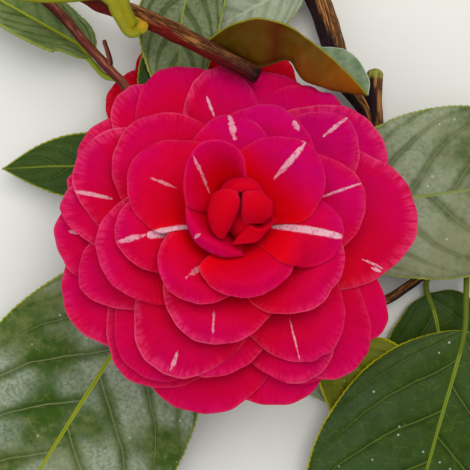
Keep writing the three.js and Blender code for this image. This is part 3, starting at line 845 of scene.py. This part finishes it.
# what a leaf has unless its own entry says otherwise; petiole, point, power, shoulder and lean give
# the outline, hook is how far the side veins bend forwards, tooth and pitch are the margin's teeth
leafShape = {
    "petiole": 0.12, "fold": 8, "curl": 0.15, "roll": 0, "twist": 0, "lean": 0, "point": 0.45,
    "power": 0.5, "shoulder": 1.0, "grid": (150, 22), "veins": 6.5, "hook": (1.5, 1.3), "puff": 0.16,
    "tooth": 0.3, "pitch": 2.0, "stalk": 0.9, "stalkGrid": (120, 12), "thickness": 0.55, "slot": "leaf",
}
leaves = {
    "leafLowLeft": {
        "from": ("leftTwig", 0.93), "width": 65, "petiole": 0.14, "curl": 0.1,
        "fold": 6, "grid": (260, 34), "look": "lowLeft",
        "places": [(-12.2, -5.4, 12.5), (-20.3, -12, 11.5), (-34.2, -33.6, 9), (-49, -56.8, 5.5),
                   (-64, -81, 2.8), (-79, -104, 0.6)]},
    "leafLowRight": {
        "from": ("rightTwig", 0.97), "width": 64, "petiole": 0.17, "fold": 7, "power": 0.62,
        "grid": (260, 34), "look": "lowRight",
        "places": [(63.4, -17.8, 8), (62, -29, 10), (56, -50.4, 10), (50.3, -73, 7.5), (44.6, -96, 3.6),
                   (40.3, -118.5, 0.6)]},
    "leafUnderRight": {
        "from": ("stem", 0.97), "width": 32, "petiole": 0.14, "look": "olive",
        "places": [(31.5, -21.5, 3.5), (30.5, -31.5, 4.6), (38.2, -42, 5.4), (49.3, -54, 5.2),
                   (63.5, -69.5, 4.6), (75, -80, 4)]},
    "leafUnderLow": {
        "from": ("leftTwig", 0.975), "width": 16, "petiole": 0.16, "fold": 4,
        "look": "greyBack",
        "places": [(2, -13, 11.5), (8, -20, 8), (18, -33, 3.6), (30.7, -48.8, 1.8)]},
    "leafRightEdge": {
        "from": ("rightTwig", 0.62), "width": 36, "petiole": 0.1, "fold": 2,
        "curl": 0.05, "look": "dark", "power": 0.4,
        "places": [(53.6, -15.4, 2.6), (56.5, -24, 2.2), (59, -40.5, 1.8), (61, -60, 1.5),
                   (63.4, -82.6, 1.2)]},
    "leafRight": {
        "from": ("leftTwig", 0.97), "width": 47, "petiole": 0.2, "look": "dusty",
        "grid": (220, 28),
        "places": [(17.4, 1.5, 14.5), (29.5, 8, 15), (44.3, 9.7, 14.5), (63.5, 12.2, 12),
                   (83.4, 14.5, 8), (103, 15.8, 5)]},
    "leafLeft": {
        "from": ("leftTwig", 0.83), "width": 19, "look": "dark",
        "places": [(-21, 15.5, 14.5), (-34, 18.2, 12), (-48, 18.8, 9.5), (-64, 18.2, 7)]},
    "leafUpperLeft": {
        "from": ("leftTwig", 0.5), "width": 24, "petiole": 0.22, "fold": 35, "lean": 0.16,
        "roll": 30, "look": "upperLeft",
        "places": [(-35.4, 43.2, 11), (-38.8, 46.8, 8.6), (-43.7, 52.4, 6.6), (-48.4, 55.3, 6),
                   (-64.7, 64.7, 5), (-78, 72, 4.4)]},
    "leafTop": {
        "from": ("stem", 0.37), "width": 22.4, "petiole": 0.1, "fold": 6, "lean": -0.06,
        "look": "mottled",
        "places": [(-9, 85.8, 11), (-11, 71.8, 13.4), (-13, 63.3, 15), (-14.3, 56.4, 16.2),
                   (-14.8, 46, 17.6), (-15.2, 38, 18.6), (-15.8, 30, 19)]},
    "leafTopMiddle": {
        "from": ("stem", 0.54), "width": 19, "petiole": 0.14, "look": "greyBack",
        "places": [(21.5, 70.5, 9), (11.5, 65.6, 9.6), (-0.8, 59, 9.6), (-12.4, 53.2, 9)]},
    "leafBehind": {
        "from": ("leftTwig", 0.72), "width": 14, "petiole": 0.15, "fold": 4,
        "look": "dark",
        "places": [(-18.5, 30, 13.2), (-19.5, 42, 13), (-21, 57, 12)]},
    "leafFolded": {
        "from": ("frontTwig", 0.74), "width": 20, "petiole": 0.03, "roll": -100,
        "twist": 47, "stalk": 0.6, "look": "folded", "slot": "young_leaf", "grid": (180, 40),
        "places": [(-7.3, 48.7, 26.4), (-2.6, 47.6, 25), (1.8, 45.5, 24.6), (5.7, 43.8, 24.5),
                   (9.5, 44.4, 24.8), (12.6, 45.3, 25.2), (14.6, 44.7, 25.4), (16.1, 42.1, 25.6),
                   (17.9, 39.8, 25.6), (21.3, 38.5, 25.4), (25.2, 37.4, 25), (29.8, 36.7, 24.8),
                   (33.9, 36, 25)],
        "near": [(-7.4, 49.2, 27.6), (-2.5, 52.2, 30), (1.75, 53.6, 31.5), (5.7, 54.2, 32.3),
                 (10, 53.4, 32.5), (14.25, 51.9, 32), (18.3, 49.2, 31.2), (22.7, 46.1, 30.2),
                 (27.1, 42.5, 29), (30.5, 39.4, 27.8), (33.8, 36.1, 26)],
        "far": [(-7.2, 48.8, 26), (-2.3, 51.8, 22), (1.8, 53.3, 20.8), (6, 53.8, 20.6),
                (10.5, 53, 21), (14.7, 51.3, 21.8), (18.5, 49.2, 22.6), (22.8, 48.5, 23.6),
                (25.3, 48.3, 24.4), (28.3, 47.6, 25), (31.3, 45.4, 25.6), (33.3, 42.3, 25.8),
                (34.6, 39.2, 25.6), (34.2, 35.9, 25.2)]},
    "leafYoung": {
        "from": ("frontTwig", 0.56), "width": 9.4, "fold": 14, "lean": -0.05,
        "look": "young", "slot": "young_leaf", "puff": 0.02, "tooth": 0, "power": 0.3, "shoulder": 0.62,
        "stalk": 1.2, "petiole": 0.15,
        "places": [(-23.5, 53.1, 28.8), (-24.6, 52.1, 29.6), (-26.2, 51.7, 30.4), (-27.5, 54, 31),
                   (-28.8, 56.5, 31.4), (-29.9, 59.4, 31.5), (-33.5, 62.2, 31.3), (-41, 62.4, 30.9),
                   (-50, 61.2, 30.2), (-57, 60, 29.4)]},
}
# colours of a leaf's blade, its lighter parts, its painted sky reflections, veins, midrib and margin,
# then how strong the painted reflections and veins are, and the widths
leafTones = ("blade", "light", "patch", "vein", "midrib", "edge",
             "patches", "veins", "midribWidth", "edgeWidth", "roughness")
leafLooks = {
    "lowLeft": ((0.032, 0.074, 0.004), (0.125, 0.15, 0.038), (0.3, 0.34, 0.25),
        (0.22, 0.26, 0.09), (0.27, 0.31, 0.012), (0.34, 0.38, 0.02),
        0.9, 0.6, 1.5, 0.45, 0.32),
    "lowRight": ((0.02, 0.044, 0.001), (0.032, 0.064, 0.006), (0.046, 0.085, 0.034),
        (0.13, 0.2, 0.02), (0.17, 0.23, 0.015), (0.47, 0.44, 0.005),
        0.6, 0.6, 1.1, 0.5, 0.36),
    "olive": ((0.095, 0.11, 0.001), (0.16, 0.18, 0.003), (0.2, 0.21, 0.02),
        (0.22, 0.25, 0.02), (0.26, 0.28, 0.01), (0.5, 0.45, 0.005),
        0.3, 0.35, 1.0, 0.55, 0.4),
    "greyBack": ((0.17, 0.215, 0.12), (0.26, 0.3, 0.18), (0.36, 0.39, 0.28),
        (0.36, 0.4, 0.28), (0.42, 0.46, 0.31), (0.34, 0.38, 0.13),
        0.6, 0.14, 1.0, 0.4, 0.5),
    "dark": ((0.018, 0.048, 0.002), (0.028, 0.058, 0.003), (0.08, 0.11, 0.04),
        (0.1, 0.15, 0.03), (0.2, 0.26, 0.02), (0.3, 0.34, 0.02),
        0.25, 0.4, 1.0, 0.45, 0.36),
    "dusty": ((0.07, 0.1, 0.03), (0.2, 0.21, 0.105), (0.27, 0.3, 0.2),
        (0.2, 0.24, 0.09), (0.24, 0.29, 0.07), (0.3, 0.34, 0.04),
        0.85, 0.45, 1.0, 0.45, 0.38),
    "upperLeft": ((0.058, 0.12, 0.014), (0.16, 0.22, 0.055), (0.24, 0.29, 0.12),
        (0.19, 0.25, 0.06), (0.36, 0.42, 0.02), (0.26, 0.31, 0.03),
        0.8, 0.2, 1.8, 0.4, 0.38),
    "mottled": ((0.026, 0.05, 0.005), (0.08, 0.105, 0.018), (0.19, 0.22, 0.12),
        (0.15, 0.19, 0.05), (0.32, 0.36, 0.04), (0.36, 0.38, 0.02),
        0.75, 0.4, 0.65, 0.4, 0.38),
    "folded": ((0.085, 0.055, 0.0), (0.12, 0.085, 0.002), (0.12, 0.05, 0.0),
        (0.1, 0.07, 0.0), (0.12, 0.08, 0.0), (0.27, 0.25, 0.004),
        0.3, 0.0, 0.4, 0.17, 0.42),
    "young": ((0.21, 0.185, 0.001), (0.31, 0.265, 0.002), (0.27, 0.19, 0.004),
        (0.36, 0.33, 0.02), (0.36, 0.32, 0.006), (0.13, 0.14, 0.002),
        0.3, 0.0, 0.3, 0.8, 0.42),
}
# the folded leaf's near half along its length, its speckles and its far half
foldedLook = {
    "near": ((0.12, (0.072, 0.036, 0.001)), (0.33, (0.095, 0.038, 0.001)),
             (0.40, (0.080, 0.014, 0.001)), (0.48, (0.088, 0.045, 0.001)),
             (0.66, (0.12, 0.050, 0.001)), (0.9, (0.27, 0.070, 0.002))),
    "nearLow": (0.17, 0.034, 0.001), "nearSpeckle": (0.06, 0.025, 0.0),
    "nearEdge": (0.20, 0.20, 0.006), "far": (0.085, 0.145, 0.065), "farLight": (0.20, 0.25, 0.15),
    "farEdge": (0.36, 0.40, 0.28),
}
youngLook = {"node": (0.50, 0.22, 0.012), "foot": (0.40, 0.22, 0.006)}  # orange at its base
dustColour = (0.5, 0.52, 0.45)
leafRelief = 0.00028
leafLayers = ("rim", "acrossLeaf")  # how far a place is from the margin and from the midrib


def bladeHalf(shape, b):
    # half the blade's width, b being 0 at its foot and 1 at its tip
    power = shape["power"] + shape["point"] * b * b
    outline = math.sin(math.pi * b ** 0.9) ** power if 0 < b < 1 else 0
    outline *= lerp(shape["shoulder"], 1, smoothstep(b, 0.2, 0.7))
    return max(0.35 * shape["stalk"], 0.5 * shape["width"] * outline)


def veinPhase(shape, b, t):
    # whole numbers on the side veins, which leave the midrib and hook forwards at the margin
    bend, hook = shape["hook"]
    return shape["veins"] * b - bend * abs(t) - hook * abs(t) ** 4 + (0.5 if t < 0 else 0.0)


def leafAcross(shape, curve, u):
    roll = shape["roll"] + shape["twist"] * smoothstep(u, 0.55, 1)
    return across(curve.along(u), math.radians(roll))


def addLeaf(bm, shape):
    bearer, at = shape["from"]
    limb = limbs[bearer]
    centre, first = limb.at(at), Vector(shape["places"][0])
    start = centre + (first - centre).normalized() * 0.5 * limbRadius(wood[bearer], at)
    curve = Path([start] + shape["places"], 200)
    spots = addGrid(bm, shape["grid"])
    rimLayer, acrossLayer = (bm.verts.layers.float[layer] for layer in leafLayers)
    petiole, fold = shape["petiole"], math.radians(shape["fold"])
    guided = guidePlace([shape["near"], shape["places"], shape["far"]]) if "near" in shape else None
    turned = {}
    for vert, (s, t) in spots.items():
        u = lerp(0.5 * petiole, 1, 0.5 * (s + 1))
        b = clamp((u - petiole) / (1 - petiole))
        half = bladeHalf(shape, b)
        body = smoothstep(half, 2, 9)
        if guided:
            ripple = noise.noise(Vector((0.22 * s * curve.length, 2.4 * t, 3)))
            vert.co = guided(t, s) + Vector((0, 0, 0.48 * ripple * body))
        else:
            teeth = (curve.length * b / shape["pitch"]) % 1 - 0.5
            tooth = shape["tooth"] * teeth * smoothstep(abs(t), 0.9, 1) * smoothstep(half, 2, 6)
            left, over = leafAcross(shape, curve, u)
            rise = math.sin(fold) * abs(t) - shape["curl"] * t * t
            reach = (half + tooth) * (1 + shape["lean"] * t)
            nearVein = abs((veinPhase(shape, b, t) + 0.5) % 1 - 0.5)
            puff = (smoothstep(nearVein, 0, 0.3) - 1) * smoothstep(1 - abs(t), 0.05, 0.3)
            puff = shape["puff"] * body * (puff - 0.5 * math.exp(-(t * half / 1.1) ** 2))
            wave = 0.35 * body * math.sin(0.16 * u * curve.length + 1.7 * (t > 0)) * abs(t) ** 3
            vert.co = curve.at(u) + left * reach * math.cos(fold) * t
            vert.co += over * (reach * rise + puff + wave)
        vert[rimLayer] = half * (1 - abs(t))
        vert[acrossLayer] = t * half
        turned[vert] = (b, t)
    setUv(bm, "leaf", turned)
    return curve


def addStalk(bm, shape, curve):
    # the petiole, which runs on as the rib under the blade
    spots = addGrid(bm, shape["stalkGrid"])
    rimLayer = bm.verts.layers.float["rim"]
    petiole = shape["petiole"]
    for vert, (s, t) in spots.items():
        u, angle = 0.5 * (s + 1) * 0.96, math.pi * t
        left, over = leafAcross(shape, curve, u)
        b = clamp((u - petiole) / (1 - petiole))
        radius = shape["stalk"] * lerp(1, 0.12, smoothstep(b, -0.25, 1))
        radius *= 1 + 0.35 * math.exp(-u * curve.length / 1.5)
        sunk = 1.05 * smoothstep(b, 0, 0.12) * radius
        ring = left * math.cos(angle) + over * math.sin(angle)
        vert.co = curve.at(u) + ring * radius - over * sunk
        vert[rimLayer] = 30.0  # far from any margin
    setUv(bm, "leaf", {vert: (0.0, 0.0) for vert in spots})
    closeTubes(bm)


def leafFinish(name, shape, length):
    look = dict(zip(leafTones, leafLooks[shape["look"]]))
    # half the blade's colour, the painted shade along the sunken side veins and the midrib groove
    deep = tuple(0.5 * c for c in look["blade"])
    bend, hook = shape["hook"]
    paint = Finish(name, Specular_IOR_Level=0.09, Coat_Weight=0.03, Coat_Roughness=0.2)
    spot = paint.object()
    along, side, _ = paint.parts(paint.uv("leaf"))
    rim = paint.attribute("rim")
    acrossLeaf = abs(paint.attribute("acrossLeaf"))
    away = abs(side)
    spacing = length * (1 - shape["petiole"]) / shape["veins"]
    wander = (paint.grain(spot, 70.0, 2.0) - 0.5) * 0.5
    other = side.maths("LESS_THAN", side, 0.0) * 0.5
    phase = along * shape["veins"] - away * bend - away ** 4 * hook + other + wander * away
    nearVein = phase.fold(0.5)
    fading = 1 - away.step(0.7, 0.97)
    vein = (1 - nearVein.step(0.10 / spacing, 0.40 / spacing)) * fading
    # painted shade: darker along the sunken side veins
    veinCreaseShade = (1 - nearVein.step(0.2 / spacing, 2.4 / spacing)) * fading
    cloud = paint.grain(spot, 48.0, 4.0, 0.6)
    speckle = paint.grain(spot, 330.0, 4.0, 0.65)
    leather = paint.grain(spot, 1000.0, 2.0, 0.6)
    # a loose net of fine veins between the main ones
    warp = paint.grain(spot, 220.0, 2.0).output("Color")
    bent = paint.vector("MULTIPLY_ADD", warp, (0.004, 0.004, 0.004), spot)
    net = paint.node("ShaderNodeTexVoronoi", {"feature": "DISTANCE_TO_EDGE"},
                     {"Vector": bent, "Scale": 260.0, "Randomness": 1.0})
    netLine = (1 - net.step(0.0, 0.055)) * speckle.step(0.40, 0.60)
    tone = cloud * 0.6 + speckle * 0.4
    # painted sky reflection: pale patches between the veins stand in for the glossy leaf reflecting the
    # sky
    moved = paint.stretched(spot, (1, 1, 1), (0.31, 0.17, 0.0))
    reflectionNoise = paint.grain(moved, 44.0, 2.0, 0.5)
    paintedSkyReflection = (nearVein.step(0.06, 0.26) * 0.8 + 0.2) * reflectionNoise.step(0.40, 0.62)
    paintedSkyReflection *= leather.step(0.3, 0.65) * 0.55 + 0.45
    dust = paint.node("ShaderNodeTexVoronoi", {"feature": "F1"}, {"Vector": spot, "Scale": 210.0})
    specks = (1 - dust.step(0.05, 0.085)) * cloud.step(0.42, 0.5)
    ribWidth = (1 - along * 0.75) * look["midribWidth"] * 0.5
    rib = 1 - (acrossLeaf - ribWidth).step(-0.12, 0.16)
    # painted shade: the midrib darkens along its sunken groove
    groove = 1 - acrossLeaf.step(0.04, 0.22)
    midrib = paint.blend(groove * 0.45, look["midrib"], deep)
    edge = 1 - rim.step(0.5 * look["edgeWidth"], 1.2 * look["edgeWidth"])
    colour = paint.coats(look["blade"], (tone.step(0.39, 0.61), look["light"]),
                         (veinCreaseShade * look["veins"], deep), (paintedSkyReflection * look["patches"], look["patch"]),
                         (netLine * 0.22, look["vein"]),
                         (vein * look["veins"] * (speckle * 0.6 + 0.6), look["vein"]),
                         (specks * 0.6, dustColour), (rib, midrib),
                         (edge * (speckle * 0.6 + 0.55), look["edge"]))
    if shape["look"] == "folded":
        colour = foldedColours(paint, foldedLook, along, side, edge, cloud, speckle)
    if shape["look"] == "young":
        base = tuple(toPart @ Vector(shape["places"][0]))
        gap = paint.vector("DISTANCE", spot, base).output("Value")
        colour = paint.coats(colour, (1 - gap.step(0.6 * mm, 1.9 * mm), youngLook["node"]),
                             ((1 - along.step(0.0, 0.08)) * 0.45, youngLook["foot"]))
    rough = look["roughness"] + speckle * 0.14 + vein * 0.1
    height = nearVein.step(0.0, 0.25) * (0.4 if look["veins"] else 0.05) + speckle * 0.25
    height += leather * 0.1 - netLine * 0.1 - rib * 0.4
    return paint.finish(colour, rough, height, leafRelief)


def foldedColours(paint, look, along, side, edge, cloud, speckle):
    # its near half is olive to red-brown, its far half grey-green
    low = abs(side).step(0.9, 0.2) * along.step(0.4, 0.6)
    near = paint.coats(paint.ramp(along + cloud * 0.06 - 0.03, *look["near"]),
                       (low * 0.65, look["nearLow"]),
                       (speckle.step(0.45, 0.7) * 0.3, look["nearSpeckle"]), (edge, look["nearEdge"]))
    far = paint.coats(look["far"], (speckle.step(0.3, 0.7), look["farLight"]), (edge, look["farEdge"]))
    return paint.blend(side.step(0.16, 0.24), near, far)


for name, extra in leaves.items():
    shape = dict(leafShape, **extra)
    leafMesh = newMesh(*leafLayers)
    curve = addLeaf(leafMesh, shape)
    leafMaterial = leafFinish(name, shape, curve.length)
    node = "".join("_" + letter.lower() if letter.isupper() else letter for letter in name)
    finishPiece(name, leafMesh, leafMaterial, shape["slot"], [node], toPart, shape["thickness"], 0.0)
    stalkMesh = newMesh(*leafLayers)
    addStalk(stalkMesh, shape, curve)
    finishPiece(name + "Stalk", stalkMesh, leafMaterial, shape["slot"])
print("leaves")


# each ring is a count of scales, their reach, width, lowest height and rise
calyxes = {
    "sepals": {"rings": ((5, 5.6, 7.2, -4.9, 1.6), (5, 7.6, 8.4, -2.4, 2.2), (4, 9.6, 9.4, -0.6, 2.6)),
               "seat": bloom["seat"], "tilt": bloom["tilt"], "top": 11.3, "foot": 2.0, "node": "calyx"},
    "rearSepals": {"rings": ((5, 3.2, 4.4, -2.0, 0.6), (5, 4.6, 5.4, -0.9, 1.0)),
                   "seat": (-7.5, 28.5, 7.4), "tilt": 0, "top": 4.7, "foot": 1.4, "node": "rear_calyx"},
}
sepalShape = dict(bloom, grid=(12, 12), thickness=0.45, firstNumber=80)
sepalLook = {"green": (0.16, 0.20, 0.04), "brown": (0.16, 0.085, 0.03), "edge": (0.36, 0.30, 0.14)}


def sepalFinish():
    paint = Finish("sepal", Specular_IOR_Level=0.35)
    spot = paint.object()
    _, along, _ = paint.parts(paint.uv("petal"))
    margin = paint.attribute("margin")
    grain = paint.grain(spot, 220.0, 3.0)
    colour = paint.coats(sepalLook["green"], (grain.step(0.35, 0.7), sepalLook["brown"]),
                         (margin.step(0.82, 1.0) * 0.7, sepalLook["edge"]))
    return paint.finish(colour, 0.5 + grain * 0.25, grain, 0.0003)


def sepalPlace(look, turn, scale, reach, width, low, rise):
    spin = Matrix.Rotation(turn, 3, "Z")

    def place(s, t):
        x, y = toDisc(s, t)
        along = 0.5 * (1 + x)
        angle = y * 0.5 * width / reach * (0.6 + 0.4 * along)
        radius = lerp(look["foot"], reach, math.sin(0.5 * math.pi * along)) * scale
        height = low - 0.9 * rise + 1.9 * rise * along ** 1.8 - look["top"]
        return spin @ Vector((radius * math.cos(angle), radius * math.sin(angle), height))

    return place


sepalMaterial = sepalFinish()
for name, look in calyxes.items():
    # overlapping scales, the smallest lowest, each cupped round the bloom's foot
    sepalMesh = newMesh(*petalLayers)
    for ring, (count, *measures) in enumerate(look["rings"]):
        for k in range(count):
            place = sepalPlace(look, 2 * math.pi * (k + 0.5 * ring) / count, 1 + 0.012 * k, *measures)
            addPetal(sepalMesh, sepalShape, place, sepalShape["firstNumber"] + k, rest=False)
    finishPiece(name, sepalMesh, sepalMaterial, "sepals", [look["node"]], seated(look),
                sepalShape["thickness"], 1.0)
print("sepals")
